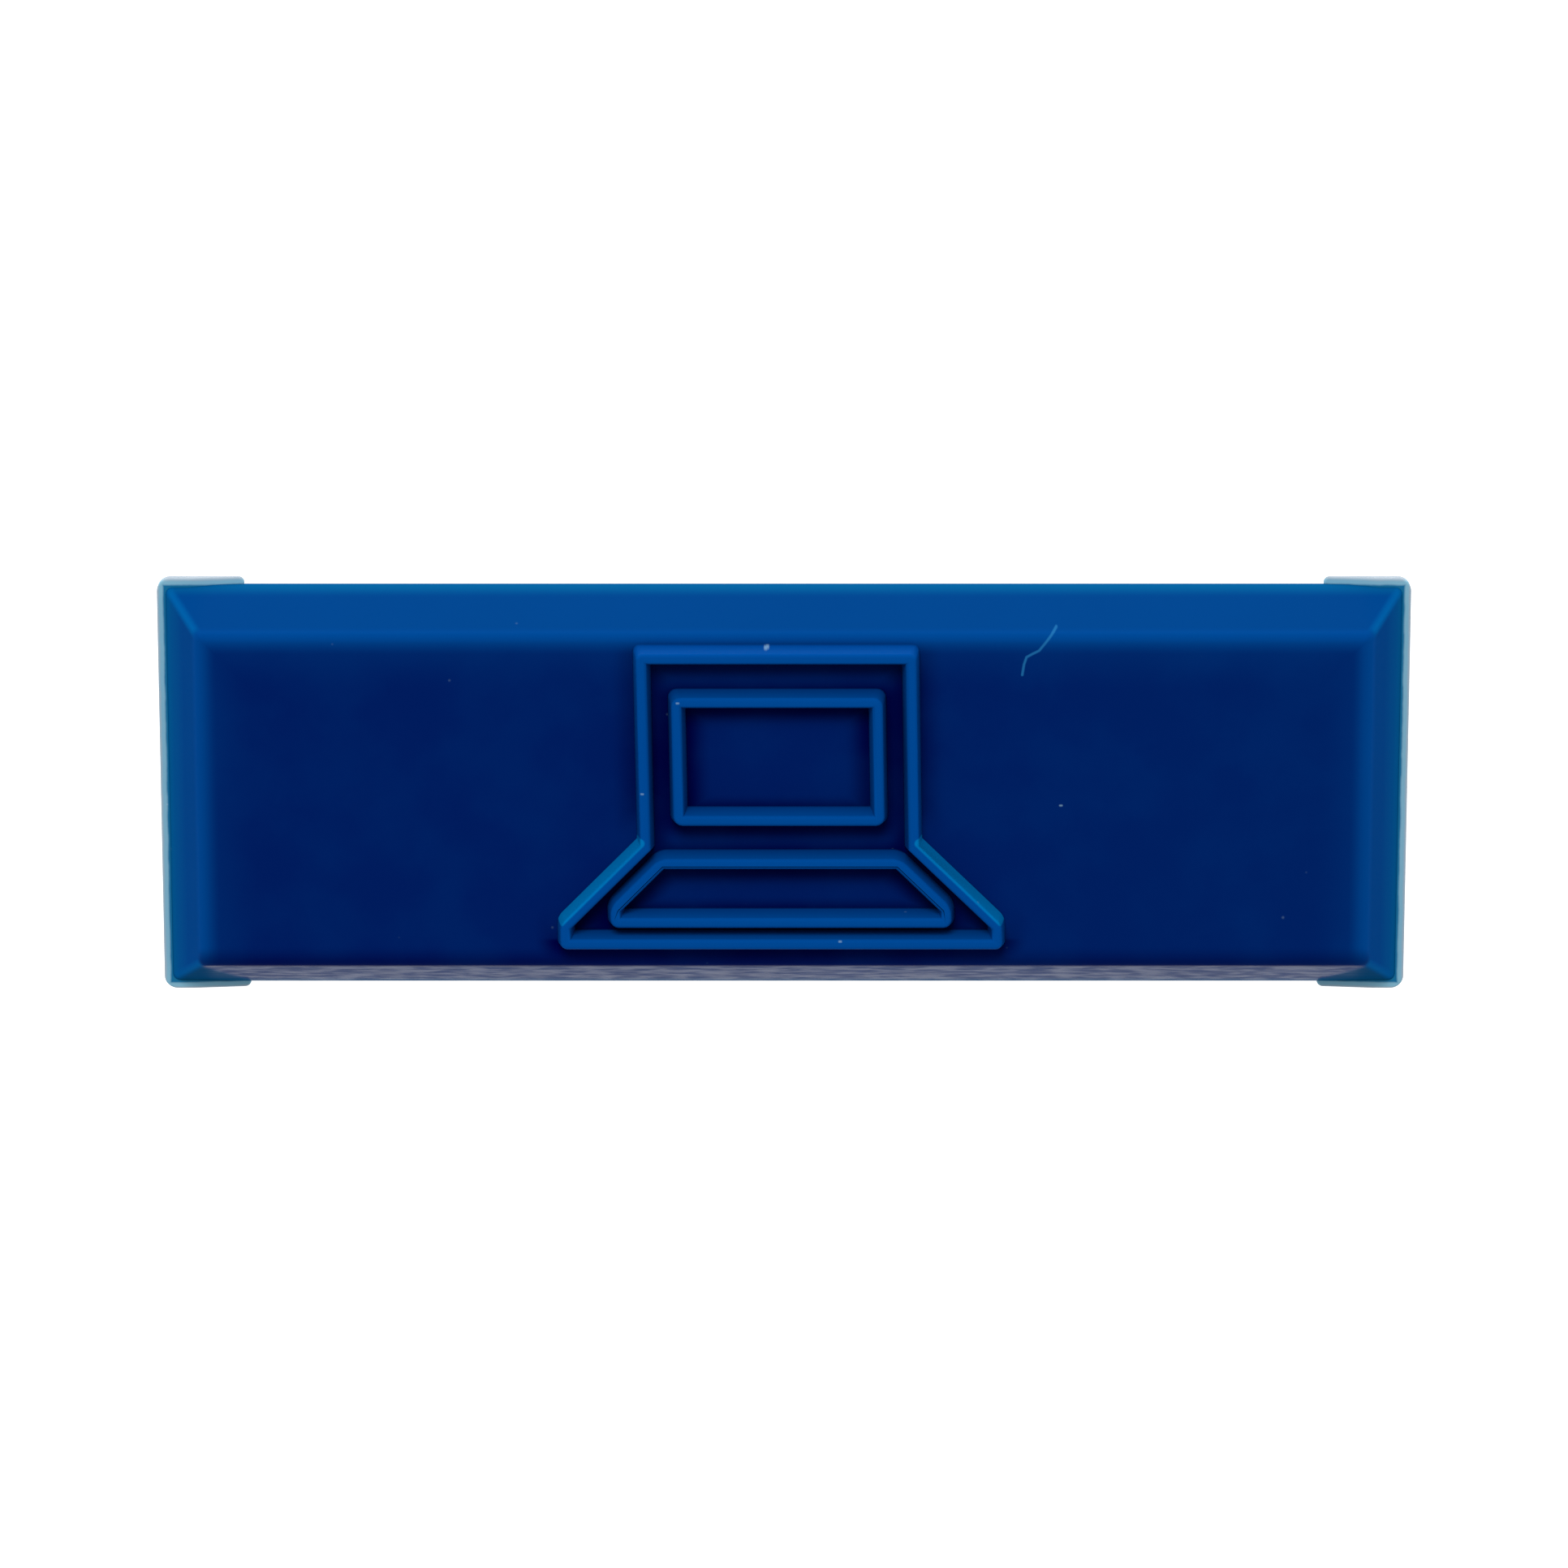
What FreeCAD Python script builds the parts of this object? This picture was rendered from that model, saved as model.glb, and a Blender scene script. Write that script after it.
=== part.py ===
import FreeCAD, Part
import os
import Sketcher

# A hand-held chalkboard eraser. A hollow moulded cover with four sloping sides carries a raised
# pictogram of an open laptop. Inside its rim lies a board with a glued felt pad, and a C-shaped
# clip round each end holds the board in. The origin is the centre of the felt's wiping face, +Z
# points up to the pictogram, +X runs along the eraser and +Y points to the pictogram's top.

document = FreeCAD.newDocument("chalkboard_eraser")

# ---------------------------------------------------------------- driving dimensions, millimetres
SIZES = {
    # cover
    "cover_length": 150.3,
    "cover_width": 50.0,
    "rim_height": 0.6,
    "slope_height": 8.2,
    "slope_inset": 4.5,
    "cover_wall": 2.0,
    "cover_corner_radius": 0.8,
    "top_edge_radius": 1.2,
    "rib_thickness": 1.4,
    "rib_pitch": 24.0,
    "rib_count": 5,
    "long_rib_relief": 0.8,
    # raised pictogram, measured on the centre line of its ridges; its slanting sides run at 45 degrees
    "pictogram_shift": -0.8,
    "pictogram_top_margin": 2.0,
    "pictogram_foot_margin": 3.4,
    "lid_half_width": 16.2,
    "tray_depth": 12.1,
    "tray_edge": 2.2,
    "screen_side_margin": 4.1,
    "screen_top_margin": 5.4,
    "screen_foot_margin": 3.4,
    "keys_side_margin": 1.9,
    "keys_top_margin": 2.0,
    "keys_foot_margin": 2.7,
    "keys_edge": 1.7,
    "ridge_height": 3.3,
    "ridge_crest": 1.0,
    "ridge_base": 2.1,
    "ridge_root": 1.0,
    "ridge_edge_radius": 0.3,
    # end clips
    "clip_wall": 0.9,
    "clip_clearance": 0.05,
    "clip_arm": 10.7,
    "clip_end_rise": 1.5,
    "clip_tip_rise": 0.2,
    "clip_corner_radius": 1.5,
    "clip_tip_rounding": 0.6,
    "clip_underside_radius": 0.7,
    "lip_thickness": 0.9,
    "lip_reach": 4.6,
    # board and felt pad
    "board_thickness": 2.0,
    "board_clearance": 0.25,
    "board_corner_radius": 1.5,
    "film_thickness": 0.2,
    "backing_thickness": 1.4,
    "pile_height": 13.5,
    "pad_end_clearance": 1.2,
    "pad_side_inset": 3.8,
    "strip_count": 8,
    "strip_edge_radius": 0.7,
    "stitch_length": 5.0,
    "stitch_count": 17,
    "stitch_end_margin": 3.5,
    "stitch_height": 7.5,
    "thread_thickness": 0.7,
}

sheet = document.addObject("Spreadsheet::Sheet", "Sizes")
for row, (alias, value) in enumerate(SIZES.items(), start=1):
    sheet.set(f"A{row}", alias)
    sheet.set(f"B{row}", str(value))
    sheet.setAlias(f"B{row}", alias)
document.recompute()

# Levels above the wiping face, from the felt upwards, as formulas on the sheet's cells.
BACKING_LEVEL = "Sizes.pile_height"
FILM_LEVEL = f"({BACKING_LEVEL} + Sizes.backing_thickness)"
BOARD_LEVEL = f"({FILM_LEVEL} + Sizes.film_thickness)"
BOARD_TOP = f"({BOARD_LEVEL} + Sizes.board_thickness)"
RIM_TOP = f"({BOARD_LEVEL} + Sizes.rim_height)"
COVER_TOP = f"({RIM_TOP} + Sizes.slope_height)"
SLOPE = "(Sizes.slope_inset / Sizes.slope_height)"
SLOPE_ANGLE = f"atan({SLOPE})"

# The felt pad's half sizes: clear of the clips' lips at its ends, set in from the rim at its sides.
CLIP_INSIDE = "(Sizes.cover_length / 2 + Sizes.clip_clearance)"
PAD_HALF_LENGTH = f"({CLIP_INSIDE} - Sizes.lip_reach - Sizes.pad_end_clearance)"
PAD_HALF_WIDTH = "(Sizes.cover_width / 2 - Sizes.pad_side_inset)"


# ---------------------------------------------------------------- sketching helpers
def number(formula):
    """The value of a formula on the sheet's cells."""
    result = sheet.evalExpression(formula)
    return float(getattr(result, "Value", result))


def new_body(label):
    body = document.addObject("PartDesign::Body", label)
    body.Label = label
    return body


def origin_feature(body, role):
    return next(item for item in body.Origin.OriginFeatures if item.Role == role)


def new_sketch(body, name, role, level="0"):
    """A sketch on one of the body's origin planes, moved out along its normal by level."""
    sketch = body.newObject("Sketcher::SketchObject", name)
    sketch.AttachmentSupport = [(origin_feature(body, role), "")]
    sketch.MapMode = "FlatFace"
    sketch.setExpression("AttachmentOffset.Base.z", level)
    return sketch


def draw_outline(sketch, corners, radius=None):
    """A closed outline whose corners are pairs of formulas, rounded by radius where it is given."""
    points = [FreeCAD.Vector(number(x), number(y), 0) for x, y in corners]
    count = len(points)
    lines = [
        sketch.addGeometry(Part.LineSegment(points[i], points[(i + 1) % count]), False)
        for i in range(count)
    ]
    for i in range(count):
        sketch.addConstraint(Sketcher.Constraint("Coincident", lines[i - 1], 2, lines[i], 1))
    for i, (x, y) in enumerate(corners):
        for kind, formula, value in (("DistanceX", x, points[i].x), ("DistanceY", y, points[i].y)):
            index = sketch.addConstraint(Sketcher.Constraint(kind, -1, 1, lines[i], 1, value))
            sketch.setExpression(f"Constraints[{index}]", formula)
    if radius is None:
        return
    for line in lines:
        sketch.fillet(line, 1, number(radius), True, True)
        arcs = [
            i
            for i, geometry in enumerate(sketch.Geometry)
            if geometry.TypeId == "Part::GeomArcOfCircle"
        ]
        index = sketch.addConstraint(Sketcher.Constraint("Radius", arcs[-1], number(radius)))
        sketch.setExpression(f"Constraints[{index}]", radius)


def draw_rectangle(sketch, half_x, half_y, radius=None):
    """A rectangle centred on the origin."""
    corners = [
        (f"-({half_x})", f"-({half_y})"),
        (half_x, f"-({half_y})"),
        (half_x, half_y),
        (f"-({half_x})", half_y),
    ]
    draw_outline(sketch, corners, radius)


def draw_span(sketch, low_x, high_x, half_y):
    """A rectangle from low_x to high_x, symmetrical about the X axis."""
    corners = [
        (low_x, f"-({half_y})"),
        (high_x, f"-({half_y})"),
        (high_x, half_y),
        (low_x, half_y),
    ]
    draw_outline(sketch, corners)


def add_pad(body, sketch, length, taper=None, symmetric=False):
    pad = body.newObject("PartDesign::Pad", sketch.Name + "_pad")
    pad.Profile = sketch
    pad.setExpression("Length", length)
    if taper:
        pad.setExpression("TaperAngle", f"-({taper})")
    if symmetric:
        pad.SideType = "Symmetric"
    sketch.Visibility = False
    document.recompute()
    return pad


def add_pocket(body, sketch, length, taper=None):
    """A pocket that runs upwards from its sketch."""
    before = body.Shape.Volume
    pocket = body.newObject("PartDesign::Pocket", sketch.Name + "_pocket")
    pocket.Profile = sketch
    pocket.Reversed = True
    pocket.setExpression("Length", length)
    if taper:
        pocket.setExpression("TaperAngle", f"-({taper})")
    document.recompute()
    if not pocket.Shape.Volume < before - 1:
        raise RuntimeError(f"{pocket.Name} cuts nothing")
    return pocket


def edges_where(shape, wanted):
    """The names of the edges whose two ends satisfy wanted."""
    names = []
    for i, edge in enumerate(shape.Edges, start=1):
        ends = [vertex.Point for vertex in edge.Vertexes]
        if len(ends) == 2 and wanted(*ends):
            names.append(f"Edge{i}")
    return names


def add_fillet(body, wanted, radius, expected):
    """Rounds the edges of the body's last feature that satisfy wanted."""
    base = body.Tip
    names = edges_where(base.Shape, wanted)
    if len(names) != expected:
        raise RuntimeError(f"{body.Label}: {len(names)} edges to round, not {expected}")
    fillet = body.newObject("PartDesign::Fillet", body.Label + "_rounding")
    fillet.Base = (base, names)
    fillet.setExpression("Radius", radius)
    document.recompute()
    return fillet


def near(a, b, tolerance=1e-4):
    return abs(a - b) < tolerance


def is_upright(a, b):
    return near(a.x, b.x) and near(a.y, b.y) and not near(a.z, b.z)


# ---------------------------------------------------------------- cover
def add_ridge(body, name, corners):
    """One raised ridge of the pictogram: a drafted section swept round an outline."""
    path = new_sketch(body, name + "_path", "XY_Plane", COVER_TOP)
    draw_outline(path, corners)
    section = new_sketch(body, name + "_section", "YZ_Plane")
    middle = corners[0][1]
    root = f"({COVER_TOP} - Sizes.ridge_root)"
    crest = f"({COVER_TOP} + Sizes.ridge_height)"
    draft = "(Sizes.ridge_base - Sizes.ridge_crest) / 2 / Sizes.ridge_height"
    half_root = f"(Sizes.ridge_base / 2 + {draft} * Sizes.ridge_root)"
    section_corners = [
        (f"{middle} - {half_root}", root),
        (f"{middle} + {half_root}", root),
        (f"{middle} + Sizes.ridge_crest / 2", crest),
        (f"{middle} - Sizes.ridge_crest / 2", crest),
    ]
    draw_outline(section, section_corners, "Sizes.ridge_edge_radius")
    document.recompute()
    ridge = body.newObject("PartDesign::AdditivePipe", name)
    ridge.Profile = section
    ridge.Spine = (path, [])
    ridge.Transition = "Right corner"
    document.recompute()


def mirrored_corners(half):
    """Adds the left half of an outline to its right half, both shifted with the pictogram."""
    right = [(f"Sizes.pictogram_shift + {x}", y) for x, y in half]
    left = [(f"Sizes.pictogram_shift - {x}", y) for x, y in reversed(half)]
    return right + left


def make_cover():
    body = new_body("cover")
    half_length = "Sizes.cover_length / 2"
    half_width = "Sizes.cover_width / 2"
    inner_half_length = f"{half_length} - Sizes.cover_wall"
    inner_half_width = f"{half_width} - Sizes.cover_wall"

    # the outside: a low upright rim and four sloping sides, rounded at the corners and the top
    rim = new_sketch(body, "rim", "XY_Plane", BOARD_LEVEL)
    draw_rectangle(rim, half_length, half_width, "Sizes.cover_corner_radius")
    add_pad(body, rim, "Sizes.rim_height")
    slope_foot = new_sketch(body, "slope_foot", "XY_Plane", RIM_TOP)
    draw_rectangle(slope_foot, half_length, half_width, "Sizes.cover_corner_radius")
    slope_top = new_sketch(body, "slope_top", "XY_Plane", COVER_TOP)
    draw_rectangle(
        slope_top,
        f"{half_length} - Sizes.slope_inset",
        f"{half_width} - Sizes.slope_inset",
        "Sizes.cover_corner_radius",
    )
    slopes = body.newObject("PartDesign::AdditiveLoft", "slopes")
    slopes.Profile = slope_foot
    slopes.Sections = [slope_top]
    slopes.Ruled = True
    document.recompute()
    top = number(COVER_TOP)
    add_fillet(
        body,
        lambda a, b: near(a.z, top) and near(b.z, top),
        "Sizes.top_edge_radius",
        8,
    )

    # the inside follows the outside at one wall's distance
    rim_room = new_sketch(body, "rim_room", "XY_Plane", BOARD_LEVEL)
    draw_rectangle(rim_room, inner_half_length, inner_half_width)
    add_pocket(body, rim_room, "Sizes.rim_height")
    slope_room = new_sketch(body, "slope_room", "XY_Plane", RIM_TOP)
    draw_rectangle(slope_room, inner_half_length, inner_half_width)
    add_pocket(body, slope_room, "Sizes.slope_height - Sizes.cover_wall", taper=SLOPE_ANGLE)

    # ribs rooted in the walls: a row across that the board rests against, and one along, clear of it
    root = "Sizes.cover_wall / 2"
    crosswise = f"({half_width} - {root})"
    lengthwise = f"({half_length} - {root})"
    rib_first = "-Sizes.rib_pitch * (Sizes.rib_count - 1) / 2"
    rib_top = f"({COVER_TOP} - {root})"

    def rib_profile(sketch, half, rib_foot):
        half_foot = f"({half} - ({rib_foot} - {RIM_TOP}) * {SLOPE})"
        half_top = f"({half} - ({rib_top} - {RIM_TOP}) * {SLOPE})"
        corners = [
            (f"-{half_foot}", rib_foot),
            (half_foot, rib_foot),
            (half_top, rib_top),
            (f"-{half_top}", rib_top),
        ]
        draw_outline(sketch, corners)

    cross_rib = new_sketch(body, "cross_rib", "YZ_Plane", rib_first)
    rib_profile(cross_rib, crosswise, BOARD_TOP)
    cross_pad = add_pad(body, cross_rib, "Sizes.rib_thickness", symmetric=True)
    ribs = body.newObject("PartDesign::LinearPattern", "cross_ribs")
    ribs.Originals = [cross_pad]
    ribs.Direction = (origin_feature(body, "X_Axis"), [""])
    ribs.setExpression("Length", "Sizes.rib_pitch * (Sizes.rib_count - 1)")
    ribs.setExpression("Occurrences", "Sizes.rib_count")
    body.Tip = ribs
    document.recompute()
    long_rib = new_sketch(body, "long_rib", "XZ_Plane")
    rib_profile(long_rib, lengthwise, f"({BOARD_TOP} + Sizes.long_rib_relief)")
    add_pad(body, long_rib, "Sizes.rib_thickness", symmetric=True)

    # the pictogram: the laptop's outline, its screen and its keyboard
    top_half_width = f"({half_width} - Sizes.slope_inset)"
    lid_top = f"({top_half_width} - Sizes.pictogram_top_margin)"
    tray_foot = f"(Sizes.pictogram_foot_margin - {top_half_width})"
    lid_foot = f"({tray_foot} + Sizes.tray_depth)"
    tray_shoulder = f"({tray_foot} + Sizes.tray_edge)"
    tray_half_width = f"(Sizes.lid_half_width + {lid_foot} - {tray_shoulder})"
    laptop_half = [
        ("Sizes.lid_half_width", lid_top),
        ("Sizes.lid_half_width", lid_foot),
        (tray_half_width, tray_shoulder),
        (tray_half_width, tray_foot),
    ]
    screen_half_width = "(Sizes.lid_half_width - Sizes.screen_side_margin)"
    screen_half = [
        (screen_half_width, f"({lid_top} - Sizes.screen_top_margin)"),
        (screen_half_width, f"({lid_foot} + Sizes.screen_foot_margin)"),
    ]
    keys_top = f"({lid_foot} - Sizes.keys_top_margin)"
    keys_foot = f"({tray_foot} + Sizes.keys_foot_margin)"
    keys_shoulder = f"({keys_foot} + Sizes.keys_edge)"
    keys_top_half = "(Sizes.lid_half_width - Sizes.keys_side_margin)"
    keys_foot_half = f"({keys_top_half} + {keys_top} - {keys_shoulder})"
    keys_half = [
        (keys_top_half, keys_top),
        (keys_foot_half, keys_shoulder),
        (keys_foot_half, keys_foot),
    ]
    add_ridge(body, "laptop_ridge", mirrored_corners(laptop_half))
    add_ridge(body, "screen_ridge", mirrored_corners(screen_half))
    add_ridge(body, "keyboard_ridge", mirrored_corners(keys_half))
    return body


# ---------------------------------------------------------------- end clips
def make_clip(label, turn):
    """A C-shaped clip for the +X end, turned about Z by turn degrees."""
    body = new_body(label)
    inner_side = "(Sizes.cover_width / 2 + Sizes.clip_clearance)"
    outer_end = f"({CLIP_INSIDE} + Sizes.clip_wall)"
    outer_side = f"({inner_side} + Sizes.clip_wall)"
    tip = f"({outer_end} - Sizes.clip_arm)"
    lip_top = f"({BOARD_LEVEL} - Sizes.clip_clearance)"
    lip_bottom = f"({lip_top} - Sizes.lip_thickness)"
    end_top = f"({BOARD_LEVEL} + Sizes.clip_end_rise)"
    tip_top = f"({BOARD_LEVEL} + Sizes.clip_tip_rise)"
    shoulder = f"({outer_end} - 2 * Sizes.clip_corner_radius)"

    # a block as wide as the clip, whose top falls from the end wall to the arms' tips
    block = new_sketch(body, label + "_block", "XZ_Plane")
    side_view = [
        (tip, lip_bottom),
        (outer_end, lip_bottom),
        (outer_end, end_top),
        (shoulder, end_top),
        (tip, tip_top),
    ]
    draw_outline(block, side_view)
    add_pad(body, block, f"2 * {outer_side}", symmetric=True)

    # its rounded outside: the two corners, the arms' tips, then the whole underside
    end = number(outer_end)
    tip_x = number(tip)
    low = number(lip_bottom)
    add_fillet(
        body,
        lambda a, b: is_upright(a, b) and near(a.x, end),
        "Sizes.clip_corner_radius",
        2,
    )
    add_fillet(
        body,
        lambda a, b: is_upright(a, b) and near(a.x, tip_x),
        "Sizes.clip_tip_rounding",
        2,
    )
    add_fillet(
        body,
        lambda a, b: near(a.z, low) and near(b.z, low) and max(a.x, b.x) > tip_x + 1e-3,
        "Sizes.clip_underside_radius",
        7,
    )

    # the room for the cover's rim, then the floor cut back to a lip at the end only
    room = new_sketch(body, label + "_room", "XY_Plane", lip_top)
    draw_span(room, f"{tip} - 1", CLIP_INSIDE, inner_side)
    add_pocket(body, room, f"{end_top} - {lip_top} + 1")
    floor = new_sketch(body, label + "_floor", "XY_Plane", f"{lip_bottom} - 1")
    draw_span(floor, f"{tip} - 1", f"{CLIP_INSIDE} - Sizes.lip_reach", inner_side)
    add_pocket(body, floor, "Sizes.lip_thickness + 2")
    body.Placement = FreeCAD.Placement(
        FreeCAD.Vector(0, 0, 0),
        FreeCAD.Rotation(FreeCAD.Vector(0, 0, 1), turn),
    )
    return body


# ---------------------------------------------------------------- board and felt pad
def make_layer(label, half_length, half_width, level, thickness, radius=None):
    """A flat rectangular layer centred on the eraser."""
    body = new_body(label)
    outline = new_sketch(body, label + "_outline", "XY_Plane", level)
    draw_rectangle(outline, half_length, half_width, radius)
    add_pad(body, outline, thickness)
    return body


def make_board():
    taper = f"(Sizes.board_thickness - Sizes.rim_height) * {SLOPE}"
    inset = f"(Sizes.cover_wall + Sizes.board_clearance + {taper})"
    return make_layer(
        "carrier_board",
        f"Sizes.cover_length / 2 - {inset}",
        f"Sizes.cover_width / 2 - {inset}",
        BOARD_LEVEL,
        "Sizes.board_thickness",
        "Sizes.board_corner_radius",
    )


def make_felt_strip(number_in_row):
    """One lengthwise strip of felt, with its two wiping edges worn round."""
    label = f"felt_strip_{number_in_row}"
    body = new_body(label)
    strip_width = f"(2 * {PAD_HALF_WIDTH} / Sizes.strip_count)"
    low = f"({number_in_row - 1} * {strip_width} - {PAD_HALF_WIDTH})"
    high = f"({low} + {strip_width})"
    outline = new_sketch(body, label + "_outline", "XY_Plane")
    corners = [
        (f"-{PAD_HALF_LENGTH}", low),
        (PAD_HALF_LENGTH, low),
        (PAD_HALF_LENGTH, high),
        (f"-{PAD_HALF_LENGTH}", high),
    ]
    draw_outline(outline, corners)
    add_pad(body, outline, "Sizes.pile_height")
    add_fillet(
        body,
        lambda a, b: near(a.z, 0) and near(b.z, 0) and near(a.y, b.y),
        "Sizes.strip_edge_radius",
        2,
    )
    return body


def make_stitches(label, turn):
    """A row of side stitches: short flat bars of thread that lie on the +Y outer strip."""
    body = new_body(label)
    body.AllowCompound = True
    low_x = f"(Sizes.stitch_end_margin - {PAD_HALF_LENGTH})"
    high_x = f"({low_x} + Sizes.stitch_length)"
    low_z = "(Sizes.stitch_height - Sizes.thread_thickness / 2)"
    high_z = "(Sizes.stitch_height + Sizes.thread_thickness / 2)"
    outside = f"-({PAD_HALF_WIDTH} + Sizes.thread_thickness)"
    stitch = new_sketch(body, label + "_bar", "XZ_Plane", outside)
    corners = [(low_x, low_z), (high_x, low_z), (high_x, high_z), (low_x, high_z)]
    draw_outline(stitch, corners)
    bar = add_pad(body, stitch, "Sizes.thread_thickness")
    row = body.newObject("PartDesign::LinearPattern", label + "_row")
    row.Originals = [bar]
    row.Direction = (origin_feature(body, "X_Axis"), [""])
    row.setExpression("Length", f"-2 * {low_x} - Sizes.stitch_length")
    row.setExpression("Occurrences", "Sizes.stitch_count")
    body.Tip = row
    document.recompute()
    body.Placement = FreeCAD.Placement(
        FreeCAD.Vector(0, 0, 0),
        FreeCAD.Rotation(FreeCAD.Vector(0, 0, 1), turn),
    )
    return body


# ---------------------------------------------------------------- assembly
parts = [
    make_cover(),
    make_clip("right_end_clip", 0),
    make_clip("left_end_clip", 180),
    make_board(),
    make_layer(
        "adhesive_film",
        PAD_HALF_LENGTH,
        PAD_HALF_WIDTH,
        FILM_LEVEL,
        "Sizes.film_thickness",
    ),
    make_layer(
        "backing_cloth",
        PAD_HALF_LENGTH,
        PAD_HALF_WIDTH,
        BACKING_LEVEL,
        "Sizes.backing_thickness",
    ),
]
for number_in_row in range(1, round(number("Sizes.strip_count")) + 1):
    parts.append(make_felt_strip(number_in_row))
parts.append(make_stitches("side_stitches_back", 0))
parts.append(make_stitches("side_stitches_front", 180))

document.recompute()
for item in document.Objects:
    if "Invalid" in item.State or "Error" in item.State:
        raise RuntimeError(f"{item.Name} failed: {item.State}")
for body in parts:
    if body.Shape.isNull() or not body.Shape.isValid():
        raise RuntimeError(f"{body.Label} has no valid shape")

os.makedirs("parts", exist_ok=True)
for body in parts:
    body.Shape.exportStep(f"parts/{body.Label}.step")
    size = body.Shape.BoundBox
    print(f"{body.Label}: {size.XLength:.2f} x {size.YLength:.2f} x {size.ZLength:.2f} mm")
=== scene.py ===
import math

import bmesh
import bpy
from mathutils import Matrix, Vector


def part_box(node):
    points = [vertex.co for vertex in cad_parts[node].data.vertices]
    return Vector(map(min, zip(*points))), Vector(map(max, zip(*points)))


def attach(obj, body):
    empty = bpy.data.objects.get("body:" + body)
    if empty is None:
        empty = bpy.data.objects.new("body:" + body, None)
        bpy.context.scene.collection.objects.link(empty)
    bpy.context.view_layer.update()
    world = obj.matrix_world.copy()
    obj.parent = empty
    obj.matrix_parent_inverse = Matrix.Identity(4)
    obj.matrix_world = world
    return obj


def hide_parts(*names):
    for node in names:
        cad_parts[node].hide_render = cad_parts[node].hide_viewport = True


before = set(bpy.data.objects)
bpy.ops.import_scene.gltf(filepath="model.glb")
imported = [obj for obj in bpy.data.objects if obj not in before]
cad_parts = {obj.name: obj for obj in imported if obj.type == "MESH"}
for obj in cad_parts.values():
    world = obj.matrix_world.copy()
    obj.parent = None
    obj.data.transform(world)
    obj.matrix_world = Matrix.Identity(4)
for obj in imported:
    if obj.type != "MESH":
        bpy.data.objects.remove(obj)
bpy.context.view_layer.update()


# ------------------------------------------------------------------ table, light and camera
# The eraser lies felt side down on a plain white table, in soft light from all round and a
# stronger soft light from beyond its top edge. The camera looks down on the raised laptop.

MM = 0.001
TABLE_SIDE = 8.0
TABLE_WHITE = (0.8, 0.8, 0.8, 1)
TABLE_GLOW = 0.85
SKY_STRENGTH = 0.5
LIGHT_WATTS = 13.0
LIGHT_SIZE = 0.7
LIGHT_PLACE = (-0.15, 0.95, 1.2)
CAMERA_LEAN = math.radians(15)
CAMERA_DISTANCE = 0.98
CAMERA_LENS = 184.5
CAMERA_TARGET = 15.7 * MM

bpy.ops.object.select_all(action="DESELECT")
bpy.ops.mesh.primitive_plane_add(size=TABLE_SIDE)
table = bpy.context.object
table.name = "table"

white_table = bpy.data.materials.new("white_table")
white_table.use_nodes = True
surface = white_table.node_tree.nodes["Principled BSDF"]
surface.inputs["Base Color"].default_value = TABLE_WHITE
surface.inputs["Roughness"].default_value = 0.9
surface.inputs["Specular IOR Level"].default_value = 0.0
surface.inputs["Emission Color"].default_value = (1, 1, 1, 1)
surface.inputs["Emission Strength"].default_value = TABLE_GLOW
table.data.materials.append(white_table)

sky = bpy.data.worlds.new("soft_sky")
sky.use_nodes = True
sky.node_tree.nodes["Background"].inputs["Color"].default_value = (1, 1, 1, 1)
sky.node_tree.nodes["Background"].inputs["Strength"].default_value = SKY_STRENGTH
sky.cycles_visibility.glossy = False
bpy.context.scene.world = sky
bpy.context.scene.view_settings.view_transform = "Standard"

bpy.ops.object.light_add(type="AREA", location=LIGHT_PLACE)
soft_light = bpy.context.object
soft_light.name = "soft_light"
soft_light.rotation_euler = soft_light.location.to_track_quat("Z", "Y").to_euler()
soft_light.data.shape = "DISK"
soft_light.data.size = LIGHT_SIZE
soft_light.data.energy = LIGHT_WATTS
soft_light.visible_glossy = False

bpy.ops.object.camera_add(rotation=(-CAMERA_LEAN, 0, 0))
camera = bpy.context.object
camera.location.y = CAMERA_DISTANCE * math.sin(CAMERA_LEAN)
camera.location.z = CAMERA_TARGET + CAMERA_DISTANCE * math.cos(CAMERA_LEAN)
camera.data.lens = CAMERA_LENS
bpy.context.scene.camera = camera


# ------------------------------------------------------------------ cover
# The blue moulded cover: a thin hollow shell of plastic with a low rim, four sloping sides and a
# flat top. Three raised ridges on the top draw an open laptop. The plastic lets a little light
# through, so it is paler where it is thin: at the rim, the mitred corners and the ridges.

RIM_HEIGHT = 0.6 * MM
SLOPE_HEIGHT = 8.2 * MM
SLOPE_INSET = 4.5 * MM
COVER_WALL = 2.0 * MM
COVER_ROUNDING = 0.85 * MM
COVER_CREASE = 40
FLAT_MARGIN = 2.5 * MM
CLOSE = 0.01 * MM
WELD = 0.002 * MM

cover_low, cover_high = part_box("cover")
cover_end = cover_high.x
cover_side = cover_high.y
rim_top = cover_low.z + RIM_HEIGHT
cover_top = rim_top + SLOPE_HEIGHT
arm_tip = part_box("right_end_clip")[0].x


def choose(piece):
    """Selects this piece alone and makes it the active one."""
    bpy.ops.object.select_all(action="DESELECT")
    piece.select_set(True)
    bpy.context.view_layer.objects.active = piece


def start_editing(piece):
    """Opens this piece's mesh for editing, with nothing in it selected."""
    choose(piece)
    bpy.ops.object.mode_set(mode="EDIT")
    bpy.ops.mesh.select_all(action="DESELECT")


def stop_editing():
    bpy.ops.object.mode_set(mode="OBJECT")


def pick(piece, kind, wanted):
    """Selects only the faces, edges or vertices that satisfy wanted."""
    bpy.ops.mesh.select_all(action="DESELECT")
    bpy.ops.mesh.select_mode(type=kind)
    shape = bmesh.from_edit_mesh(piece.data)
    parts = {"FACE": shape.faces, "EDGE": shape.edges, "VERT": shape.verts}[kind]
    for part in parts:
        part.select_set(wanted(part))
    bmesh.update_edit_mesh(piece.data)


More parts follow.
